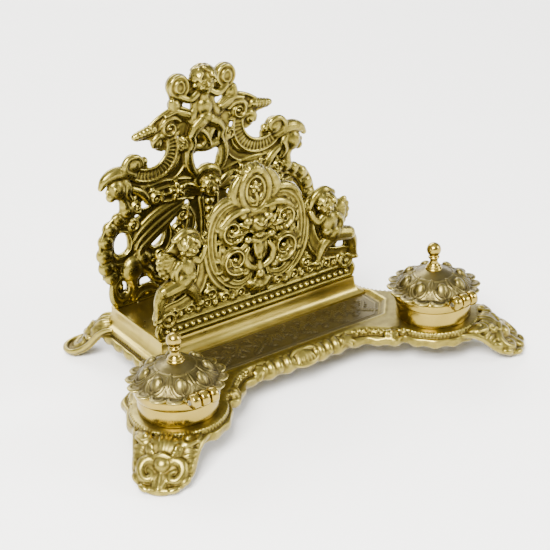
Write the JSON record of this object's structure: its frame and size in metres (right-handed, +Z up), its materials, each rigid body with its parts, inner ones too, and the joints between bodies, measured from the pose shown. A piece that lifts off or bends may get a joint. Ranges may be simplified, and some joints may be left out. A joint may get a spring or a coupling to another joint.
{
  "type": "inkstand with letter rack",
  "caption": "Cast-brass desk inkstand: footed tray with a pen recess, lidded inkwells at its front corners and a letter rack of pierced panels on a plinth.",
  "frame": {"origin": "middle of the footprint, on the surface that the feet stand on", "axes": "+Z up, -Y towards the writer, +X to the writer's right along the tray's length"},
  "size_m": [0.3038, 0.206, 0.1941],
  "materials": {
    "cast_brass": "cast, lightly polished, dark in the hollows",
    "polished_brass": "turned and polished",
    "lid_brass": "dull patina with rubbed bosses",
    "steel": "plain fasteners",
    "liner_glass": "pressed clear glass"
  },
  "bodies": {
    "inkstand": {"tray": "cast_brass", "rear_panel": "cast_brass", "front_panel": "cast_brass", "rear_panel_screws": "steel", "rear_panel_washers": "steel", "front_panel_screws": "steel", "front_panel_washers": "steel", "left_cup": "polished_brass", "left_well_screw": "steel", "left_well_washer": "steel", "left_well_nut": "steel", "left_liner": "liner_glass", "left_hinge_pin": "steel", "right_cup": "polished_brass", "right_well_screw": "steel", "right_well_washer": "steel", "right_well_nut": "steel", "right_liner": "liner_glass", "right_hinge_pin": "steel"},
    "left_lid_body": {"left_lid": "lid_brass", "left_lid_knob": "polished_brass", "left_knob_nut": "steel"},
    "right_lid_body": {"right_lid": "lid_brass", "right_lid_knob": "polished_brass", "right_knob_nut": "steel"}
  },
  "joints": [
    {"name": "left_lid_hinge", "type": "hinge", "parent": "inkstand", "child": "left_lid_body", "pos_m": [-0.103, -0.0844, 0.0466], "axis": [1, 0, 0], "range_deg": [0, 105]},
    {"name": "right_lid_hinge", "type": "hinge", "parent": "inkstand", "child": "right_lid_body", "pos_m": [0.103, -0.0844, 0.0466], "axis": [1, 0, 0], "range_deg": [0, 105]}
  ]
}
